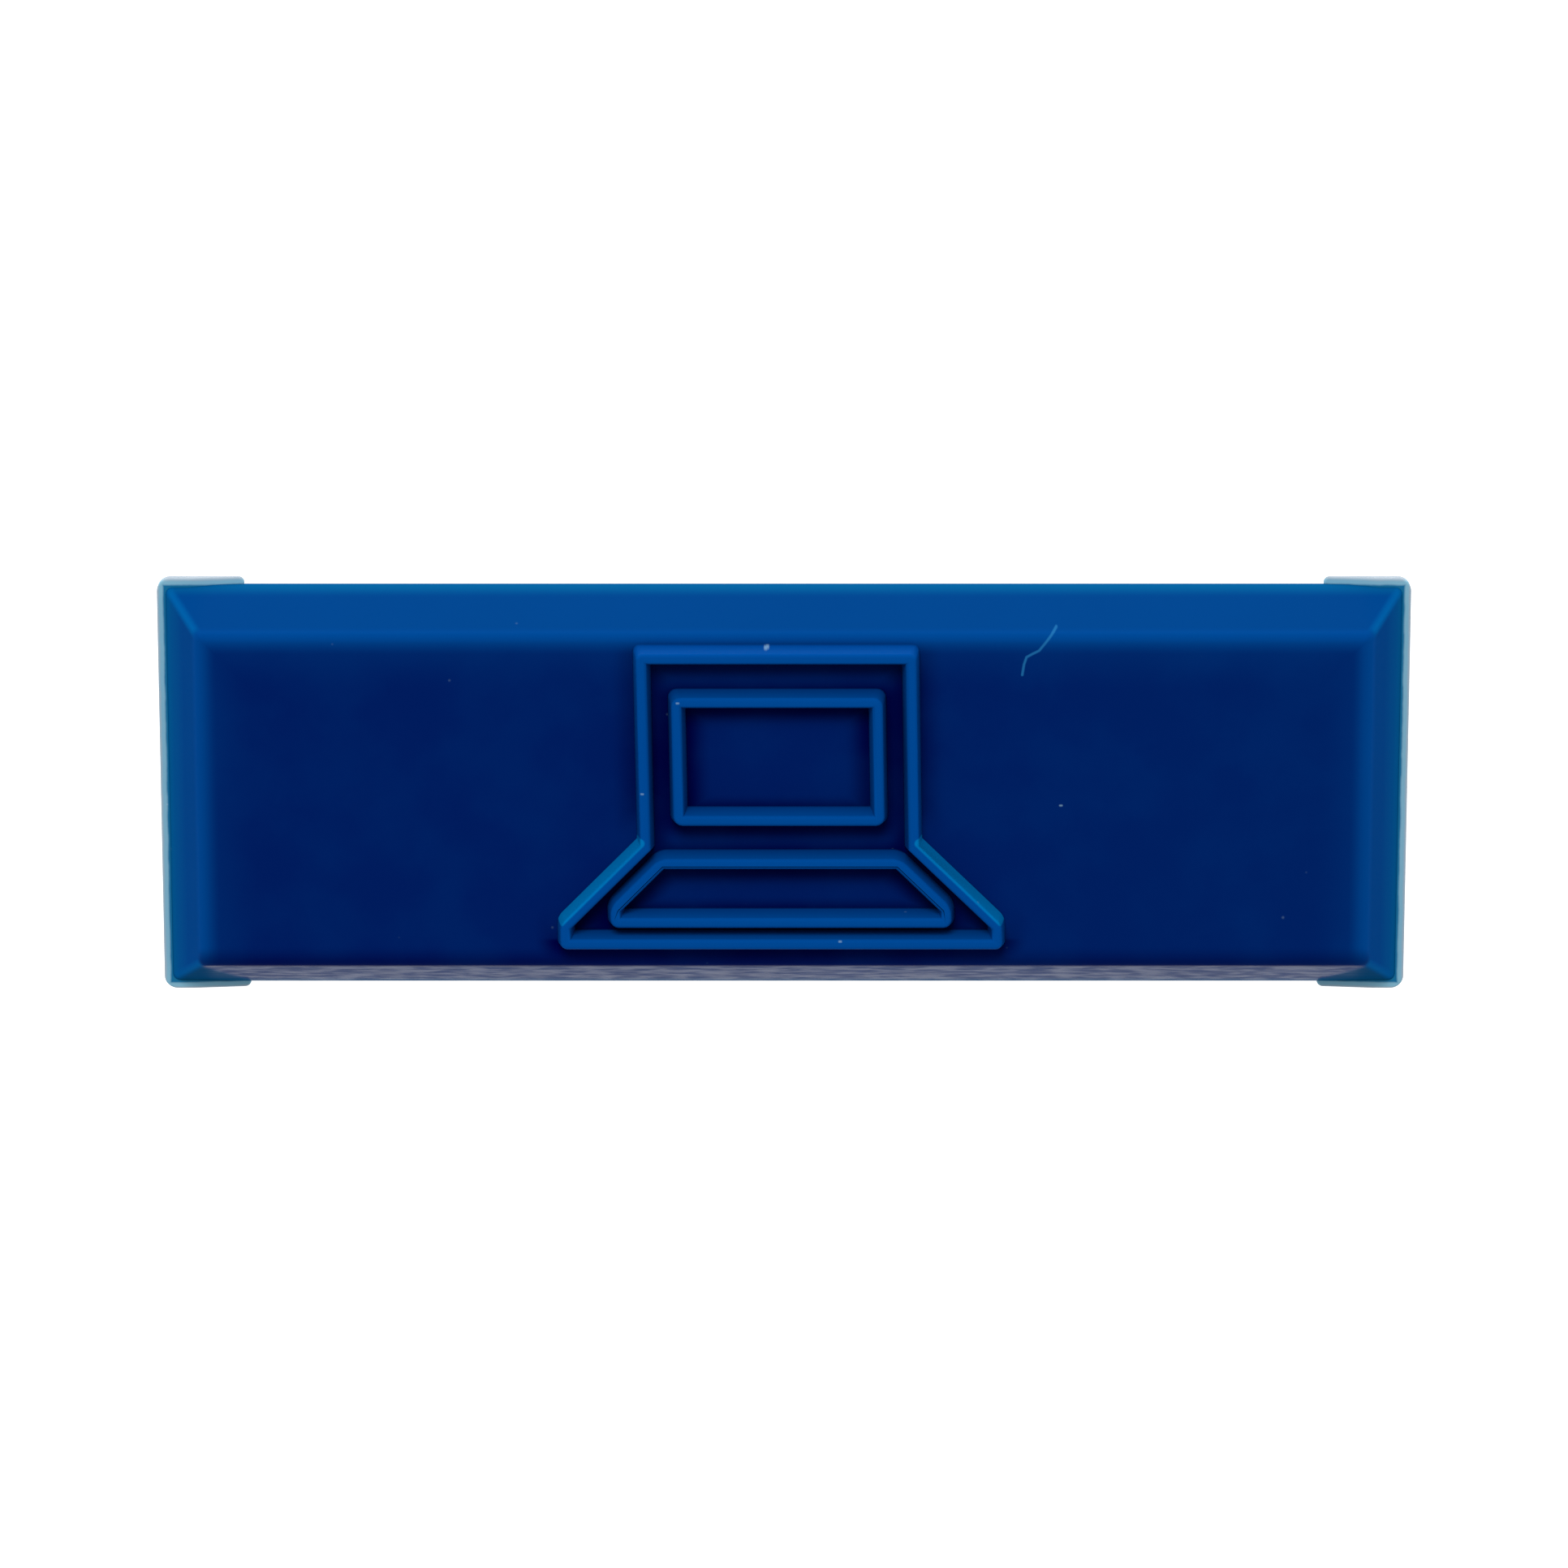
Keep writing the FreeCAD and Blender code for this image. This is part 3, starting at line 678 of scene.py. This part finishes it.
CLIP_PLAY = 0.03 * MM
CLIP_TOP = 0.45 * MM
CLIP_TIP_TOP = -0.35 * MM
CLIP_SHOULDER = 3.0 * MM
CLIP_CORNER = 1.6 * MM
CLIP_TIP = 0.75 * MM
CLIP_EDGE = 0.25 * MM
CLIP_FOOT = 0.6 * MM
LIP_REACH = 4.6 * MM
CLIP_TRIM = 0.1 * MM
CLIP_CREASE = 35
CLIP_DEPTH = 0.45 * MM
CLIP_BLUE_START = 0.62 * MM
CLIP_BLUE_FULL = 0.95 * MM
CLIP_CLOUD = 2.5 * MM
CLIP_UNEVENNESS = 0.04 * MM
CLIP_GRAIN = 0.9 * MM
CLIP_OUTER = (0.36, 0.44, 0.52)
CLIP_MIDDLE = (0.22, 0.46, 0.60)
CLIP_INNER = (0.006, 0.15, 0.32)
CLIP_DUST = (0.70, 0.75, 0.78)

clip_low, clip_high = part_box("right_end_clip")
clip_end = clip_high.x - CLIP_TRIM
clip_side = clip_high.y - CLIP_TRIM
clip_top = rim_top + CLIP_TOP
board_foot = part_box("carrier_board")[0].z


def cut_away(piece, cutter):
    """Removes the cutter's space from the piece, and then the cutter itself."""
    choose(piece)
    hollow = piece.modifiers.new("hollow", "BOOLEAN")
    hollow.operation = "DIFFERENCE"
    hollow.solver = "EXACT"
    hollow.object = cutter
    bpy.ops.object.modifier_apply(modifier=hollow.name)
    bpy.data.objects.remove(cutter)


def turns_over(edge, upwards):
    """True where a side face meets the top face, or the bottom face if not upwards."""
    slants = [face.normal.z if upwards else -face.normal.z for face in edge.link_faces]
    return min(slants) < 0.1 and max(slants) > 0.9


# a solid end block, rounded outside, whose arms get lower towards their tips
right_clip = add_block(
    "right_clip_band", (arm_tip, -clip_side, clip_low.z), (clip_end, clip_side, clip_top)
)
start_editing(right_clip)
bpy.ops.mesh.select_all(action="SELECT")
bpy.ops.mesh.bisect(plane_co=(cover_end - CLIP_SHOULDER, 0, 0), plane_no=(1, 0, 0))
pick(right_clip, "VERT", lambda vertex: near(vertex.co.x, arm_tip) and vertex.co.z > rim_top)
bpy.ops.transform.translate(value=(0, 0, rim_top + CLIP_TIP_TOP - clip_top))
for place_x, rounding, segments in ((clip_end, CLIP_CORNER, 8), (arm_tip, CLIP_TIP, 6)):
    pick(
        right_clip,
        "EDGE",
        lambda edge: is_upright(edge) and all(near(vertex.co.x, place_x) for vertex in edge.verts),
    )
    bpy.ops.mesh.bevel(offset=rounding, segments=segments, affect="EDGES")
pick(right_clip, "EDGE", lambda edge: turns_over(edge, True))
bpy.ops.mesh.bevel(offset=CLIP_EDGE, segments=3, affect="EDGES")
pick(right_clip, "EDGE", lambda edge: turns_over(edge, False))
bpy.ops.mesh.bevel(offset=CLIP_FOOT, segments=4, affect="EDGES")
stop_editing()

# the cover and the board are cut out of it, so that its top hugs the sloping sides
room_side = cover_side + CLIP_PLAY
clip_room = add_block(
    "clip_room",
    (-cover_end, -room_side, board_foot - CLIP_PLAY),
    (cover_end + CLIP_PLAY, room_side, rim_top),
)
start_editing(clip_room)
pick(clip_room, "FACE", lambda face: face.normal.z > 0.9)
raise_slopes()
pick(clip_room, "EDGE", lambda edge: is_upright(edge) and edge.verts[0].co.x > 0)
bpy.ops.mesh.bevel(offset=COVER_ROUNDING, segments=5, affect="EDGES")
stop_editing()
cut_away(right_clip, clip_room)
lip_opening = add_block(
    "lip_opening",
    (0, -room_side, 0),
    (cover_end - LIP_REACH, room_side, board_foot + RIM_HEIGHT),
)
cut_away(right_clip, lip_opening)
start_editing(right_clip)
close_skin()
stop_editing()
left_clip = right_clip.copy()
left_clip.data = right_clip.data.copy()
bpy.context.scene.collection.objects.link(left_clip)
left_clip.name = "left_clip_band"
start_editing(left_clip)
bpy.ops.mesh.select_all(action="SELECT")
bpy.ops.transform.mirror(constraint_axis=(True, False, False), center_override=(0, 0, 0))
bpy.ops.mesh.normals_make_consistent(inside=False)
stop_editing()

# the plastic is pale at its outer faces, with the cover's blue painted where it shows through
clip_plastic, tree, plastic, place = new_material("pale_clip_plastic")
x, y, z = split(tree, combine(tree, "ABSOLUTE", place).outputs[0])
end_depth = reckon(tree, "SUBTRACT", clip_end, x)
depth = reckon(tree, "MINIMUM", end_depth, reckon(tree, "SUBTRACT", clip_side, y))
cloudy = noise(tree, place, CLIP_CLOUD)
wander = fade(tree, cloudy, 0.3, 0.7, -CLIP_UNEVENNESS, CLIP_UNEVENNESS)
uneven = reckon(tree, "ADD", depth, wander)
colour = tint(tree, fade(tree, uneven, 0.0, CLIP_DEPTH), CLIP_OUTER, CLIP_MIDDLE)
above_rim = fade(tree, z, rim_top - 0.5 * MM, rim_top - 0.1 * MM)
by_cover = fade(tree, uneven, CLIP_BLUE_START, CLIP_BLUE_FULL)
colour = tint(tree, reckon(tree, "MULTIPLY", by_cover, above_rim), colour, CLIP_INNER)
dust = use_group(tree, dust_flecks, Point=place, Spacing=3 * MM, Size=0.2 * MM)
colour = tint(tree, reckon(tree, "MULTIPLY", dust, 0.4), colour, CLIP_DUST)
wire(tree, colour, plastic.inputs["Base Color"])
wire(tree, fade(tree, cloudy, 0.3, 0.7, 0.28, 0.45), plastic.inputs["Roughness"])
emboss(tree, plastic, noise(tree, place, CLIP_GRAIN), SKIN_DEPTH, 0.3)
plastic.inputs["IOR"].default_value = 1.2
for clip, side in ((left_clip, "left"), (right_clip, "right")):
    shade_evenly(clip, CLIP_CREASE)
    coat(clip, clip_plastic)
    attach(clip, f"{side}_clip")
    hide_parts(f"{side}_end_clip")


# ------------------------------------------------------------------ carrier board
# A flat board of brown pressed wood fibre, sawn to size, with its fibres matted both ways. It
# closes the hollow cover from below, and the felt pad is glued to it.

BOARD_BROWN = (0.23, 0.125, 0.062)
BOARD_DARK = (0.10, 0.05, 0.024)
BOARD_FLECK = (0.36, 0.22, 0.12)
BOARD_FIBRE = 0.5 * MM
BOARD_BLOTCH = 6 * MM
BOARD_RELIEF = 0.12 * MM

hardboard, tree, fibreboard, place = new_material("pressed_fibre_board")
long_fibres = noise(tree, place, BOARD_FIBRE, 4.0, (5, 1, 1))
cross_fibres = noise(tree, place, BOARD_FIBRE, 4.0, (1, 5, 1))
fibres = reckon(tree, "MAXIMUM", long_fibres, cross_fibres)
colour = tint(tree, fade(tree, fibres, 0.45, 0.72), BOARD_DARK, BOARD_BROWN)
blotches = fade(tree, noise(tree, place, BOARD_BLOTCH), 0.5, 0.8, 0.0, 0.5)
colour = tint(tree, blotches, colour, BOARD_FLECK)
wire(tree, colour, fibreboard.inputs["Base Color"])
wire(tree, fade(tree, fibres, 0.4, 0.7, 0.92, 0.7), fibreboard.inputs["Roughness"])
emboss(tree, fibreboard, fibres, BOARD_RELIEF, 0.6)
coat(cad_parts["carrier_board"], hardboard)


# ------------------------------------------------------------------ adhesive film
# A thin film of hot-melt glue, rolled warm on the board, that holds the pad's backing cloth. It is
# amber with paler pools, and shows only as a line round the edge.

GLUE_AMBER = (0.42, 0.25, 0.09)
GLUE_PALE = (0.58, 0.42, 0.22)
GLUE_POOL = 2.5 * MM
GLUE_RELIEF = 0.1 * MM

glue, tree, film_surface, place = new_material("amber_glue")
pooling = noise(tree, place, GLUE_POOL)
colour = tint(tree, fade(tree, pooling, 0.35, 0.65), GLUE_AMBER, GLUE_PALE)
wire(tree, colour, film_surface.inputs["Base Color"])
wire(tree, fade(tree, pooling, 0.3, 0.7, 0.25, 0.45), film_surface.inputs["Roughness"])
emboss(tree, film_surface, pooling, GLUE_RELIEF, 0.4)
coat(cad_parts["adhesive_film"], glue)


# ------------------------------------------------------------------ backing cloth
# A rectangle of coarse plain-woven cotton that holds the felt strips together at the top. It is
# cut a little ragged, lies flat on the strips and is glued to the film above.

CLOTH_STEP = 0.7 * MM
CLOTH_RAGGED = 0.35 * MM
CLOTH_FRAYING = 1.1 * MM
CLOTH_THREAD = 0.8 * MM
CLOTH_FLUFF = 0.25 * MM
CLOTH_STAIN = 12 * MM
CLOTH_RELIEF = 0.2 * MM
CLOTH_CREASE = 50
CLOTH_GREY = (0.15, 0.16, 0.18)
CLOTH_SHADE = (0.05, 0.055, 0.065)

cloth_low, cloth_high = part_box("backing_cloth")
cloth_width = cloth_high.y - cloth_low.y
cloth_length = cloth_high.x - cloth_low.x
cloth_thickness = cloth_high.z - cloth_low.z
bpy.ops.object.select_all(action="DESELECT")
bpy.ops.mesh.primitive_grid_add(
    x_subdivisions=round(cloth_length / CLOTH_STEP),
    y_subdivisions=round(cloth_width / CLOTH_STEP),
    size=1,
    location=(0, 0, cloth_high.z),
)
cloth = bpy.context.object
cloth.scale = (cloth_length - CLOTH_RAGGED, cloth_width - CLOTH_RAGGED, 1)
bpy.ops.object.transform_apply(location=True, rotation=True, scale=True)
cloth.name = "woven_backing"
thickness = cloth.modifiers.new("thickness", "SOLIDIFY")
thickness.thickness = cloth_thickness
thickness.offset = -1
ragged_pattern = bpy.data.textures.new("ragged_threads", "CLOUDS")
ragged_pattern.noise_scale = CLOTH_FRAYING
for axis in ("X", "Y"):
    ragged = cloth.modifiers.new("ragged_edge", "DISPLACE")
    ragged.texture = ragged_pattern
    ragged.direction = axis
    ragged.strength = CLOTH_RAGGED
for modifier in list(cloth.modifiers):
    bpy.ops.object.modifier_apply(modifier=modifier.name)
bpy.ops.object.shade_smooth_by_angle(angle=math.radians(CLOTH_CREASE))

# two sets of threads that cross and pass over and under each other
plain_weave, given, result = new_group(
    "plain_weave", {"Point": "Vector", "Thread": "Float"}, "Height"
)
turns = reckon(plain_weave, "DIVIDE", math.pi, given["Thread"])
spread = combine(plain_weave, "SCALE", given["Point"])
wire(plain_weave, turns, spread.inputs["Scale"])
waves = [reckon(plain_weave, "SINE", way) for way in split(plain_weave, spread.outputs[0])[:2]]
humps = [reckon(plain_weave, "ABSOLUTE", wave) for wave in waves]
signs = [reckon(plain_weave, "SIGN", wave) for wave in waves]
over = reckon(plain_weave, "MULTIPLY", *signs)
wire(plain_weave, fade(plain_weave, over, -1.0, 1.0, *humps, "LINEAR"), result)

cotton, tree, cloth_surface, place = new_material("woven_cotton")
weave = use_group(tree, plain_weave, Point=place, Thread=CLOTH_THREAD)
fluff = noise(tree, place, CLOTH_FLUFF)
thread_height = reckon(tree, "ADD", weave, reckon(tree, "MULTIPLY", fluff, 0.4))
# painted shade darkens the threads where they dip under each other
colour = tint(tree, fade(tree, thread_height, 0.25, 0.95), CLOTH_SHADE, CLOTH_GREY)
stains = fade(tree, noise(tree, place, CLOTH_STAIN), 0.4, 0.7, 0.0, 0.3)
colour = tint(tree, stains, colour, CLOTH_SHADE)
wire(tree, colour, cloth_surface.inputs["Base Color"])
wire(tree, fade(tree, fluff, 0.3, 0.7, 0.85, 1.0), cloth_surface.inputs["Roughness"])
emboss(tree, cloth_surface, thread_height, CLOTH_RELIEF, 0.8)
cloth_surface.inputs["Sheen Weight"].default_value = 0.15
coat(cloth, cotton)
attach(cloth, "handle")
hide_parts("backing_cloth")


# ------------------------------------------------------------------ felt strips
# Eight long strips of thick pressed wool felt stand on edge, side by side, and their lower edges
# are the face that wipes. They are cut from a sheet, so their edges are soft and a little fuzzy.

STRIP_COUNT = 8
STRIP_GAP = 0.12 * MM
STRIP_ROUNDING = 0.7 * MM
STRIP_FUZZ = 0.3 * MM
STRIP_GRAIN = 0.55 * MM
STRIP_SWAY = 0.35 * MM
SWAY_LENGTH = 9 * MM
TUFT_SIZE = 0.9 * MM
CLUMP_SIZE = 1.6 * MM
HAIR_WIDTH = 0.22 * MM
PILE_RELIEF = 0.35 * MM
CHALK_DEPTH = 3 * MM
CHALK_CLOUD = 7 * MM
FELT_GREY = (0.105, 0.108, 0.115)
FELT_DARK = (0.040, 0.042, 0.047)
FELT_LIGHT = (0.30, 0.30, 0.30)
CHALK = (0.62, 0.62, 0.60)

felt, tree, felt_surface, place = new_material("pressed_wool_felt")
tufts = noise(tree, place, CLUMP_SIZE, 4.0)
hairs_along = noise(tree, place, HAIR_WIDTH, 2.0, (6, 1, 1.5))
hairs_across = noise(tree, place, HAIR_WIDTH, 2.0, (1.5, 1, 6))
hairs = reckon(tree, "MAXIMUM", hairs_along, hairs_across)
colour = tint(tree, fade(tree, tufts, 0.35, 0.65), FELT_DARK, FELT_GREY)
colour = tint(tree, fade(tree, hairs, 0.62, 0.75, 0.0, 0.75), colour, FELT_LIGHT)
near_face = fade(tree, split(tree, place)["Z"], CHALK_DEPTH, 0.0, 0.0, 0.8)
chalk_clouds = fade(tree, noise(tree, place, CHALK_CLOUD, 5.0), 0.42, 0.62, 0.0, 0.5)
colour = tint(tree, reckon(tree, "MULTIPLY", near_face, chalk_clouds), colour, CHALK)
wire(tree, colour, felt_surface.inputs["Base Color"])
wire(tree, fade(tree, tufts, 0.3, 0.7, 0.88, 1.0), felt_surface.inputs["Roughness"])
emboss(tree, felt_surface, reckon(tree, "ADD", hairs, tufts), PILE_RELIEF, 0.9)
felt_surface.inputs["Sheen Weight"].default_value = 0.35
felt_surface.inputs["Sheen Roughness"].default_value = 0.6

# the pressed edges undulate slowly, and the cut surface has small tufts
waviness = bpy.data.textures.new("strip_waviness", "CLOUDS")
waviness.noise_scale = SWAY_LENGTH
tuft_pattern = bpy.data.textures.new("strip_tufts", "CLOUDS")
tuft_pattern.noise_scale = TUFT_SIZE

first_low, first_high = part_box("felt_strip_1")
margin = STRIP_GAP / 2 + STRIP_FUZZ / 2
first_strip = add_block(
    "felt_pile_1",
    (first_low.x + margin, first_low.y + STRIP_GAP / 2, first_low.z + 0.9 * margin),
    (first_high.x - margin, first_high.y - STRIP_GAP / 2, first_high.z - margin / 2),
)
start_editing(first_strip)
bpy.ops.mesh.select_all(action="SELECT")
bpy.ops.mesh.bevel(offset=STRIP_ROUNDING, segments=3, affect="EDGES")
stop_editing()
cells = first_strip.modifiers.new("even_cells", "REMESH")
cells.mode = "VOXEL"
cells.voxel_size = STRIP_GRAIN
bpy.ops.object.modifier_apply(modifier=cells.name)
strips = [first_strip]
for i in range(2, STRIP_COUNT + 1):
    strip = first_strip.copy()
    strip.data = first_strip.data.copy()
    strip.name = f"felt_pile_{i}"
    bpy.context.scene.collection.objects.link(strip)
    strips.append(strip)
for i, strip in enumerate(strips, 1):
    name = f"felt_strip_{i}"
    strip.location.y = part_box(name)[0].y - first_low.y
    choose(strip)
    bpy.context.view_layer.update()
    for pattern, strength in ((waviness, STRIP_SWAY), (tuft_pattern, STRIP_FUZZ)):
        fuzz = strip.modifiers.new("fuzz", "DISPLACE")
        fuzz.texture = pattern
        fuzz.texture_coords = "GLOBAL"
        fuzz.strength = strength
        bpy.ops.object.modifier_apply(modifier=fuzz.name)
    bpy.ops.object.transform_apply(location=True, rotation=True, scale=True)
    bpy.ops.object.shade_smooth()
    coat(strip, felt)
    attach(strip, "handle")
    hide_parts(name)


# ------------------------------------------------------------------ side stitches
# Strong cotton thread goes right through all eight strips and shows along both long sides as a
# row of short straight stitches. Each is two plies twisted together, pulled into the felt.

STITCH_LENGTH = 5.0 * MM
STITCH_COUNT = 17
PLY_TWIST = 3.0 * math.pi
PLY_SIDES = 14
PLY_RINGS = 21
PLY_WAIST = 0.62
PLY_TIP = 0.25
TIP_SINK = 0.45
STRAND_WIDTH = 0.12 * MM
STRAND_RELIEF = 0.06 * MM
THREAD_CREAM = (0.70, 0.66, 0.56)
THREAD_SHADE = (0.36, 0.32, 0.24)

thread, tree, thread_surface, place = new_material("cotton_thread")
strands = noise(tree, place, STRAND_WIDTH, 2.0, (5, 1, 1))
colour = tint(tree, fade(tree, strands, 0.35, 0.65), THREAD_SHADE, THREAD_CREAM)
wire(tree, colour, thread_surface.inputs["Base Color"])
wire(tree, fade(tree, strands, 0.3, 0.7, 0.75, 0.95), thread_surface.inputs["Roughness"])
emboss(tree, thread_surface, strands, STRAND_RELIEF, 0.7)
thread_surface.inputs["Sheen Weight"].default_value = 0.2

# one stitch is modelled for each side: two plies side by side, twisted, tapered and sunk at
# both ends, and then repeated along the strip
for node_name, name, outwards in (
    ("side_stitches_front", "front_stitches", -1),
    ("side_stitches_back", "back_stitches", 1),
):
    low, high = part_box(node_name)
    thread_size = high.z - low.z
    bpy.ops.object.select_all(action="DESELECT")
    bpy.ops.mesh.primitive_cylinder_add(
        vertices=PLY_SIDES, radius=thread_size / 2, depth=STITCH_LENGTH, end_fill_type="TRIFAN"
    )
    stitch = bpy.context.object
    start_editing(stitch)
    pick(stitch, "EDGE", is_upright)
    bpy.ops.mesh.subdivide(number_cuts=PLY_RINGS)
    stop_editing()
    for vertex in stitch.data.vertices:
        angle = math.atan2(vertex.co.y, vertex.co.x)
        waist = PLY_WAIST + (1 - PLY_WAIST) * abs(math.cos(angle))
        taper = math.sqrt(max(0.0, 1 - (2 * vertex.co.z / STITCH_LENGTH) ** 6))
        vertex.co.x *= waist * (PLY_TIP + (1 - PLY_TIP) * taper)
        vertex.co.y *= waist * (PLY_TIP + (1 - PLY_TIP) * taper)
    twist = stitch.modifiers.new("twist", "SIMPLE_DEFORM")
    twist.deform_method = "TWIST"
    twist.deform_axis = "Z"
    twist.angle = PLY_TWIST
    bpy.ops.object.modifier_apply(modifier=twist.name)
    stitch.rotation_euler.y = math.pi / 2
    bpy.ops.object.transform_apply(location=True, rotation=True, scale=True)
    for vertex in stitch.data.vertices:
        sink = (2 * vertex.co.x / STITCH_LENGTH) ** 4
        vertex.co.y -= outwards * TIP_SINK * thread_size * sink
    first = low.x + STITCH_LENGTH / 2
    step = (high.x - low.x - STITCH_LENGTH) / (STITCH_COUNT - 1)
    stitch.location = (first, (low.y + high.y) / 2, (low.z + high.z) / 2)
    bpy.ops.object.transform_apply(location=True, rotation=True, scale=True)
    row = stitch.modifiers.new("row", "ARRAY")
    row.count = STITCH_COUNT
    row.use_relative_offset = False
    row.use_constant_offset = True
    row.constant_offset_displace = (step, 0, 0)
    bpy.ops.object.modifier_apply(modifier=row.name)
    bpy.ops.object.shade_smooth()
    stitch.name = name
    coat(stitch, thread)
    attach(stitch, "handle")
    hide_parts(node_name)
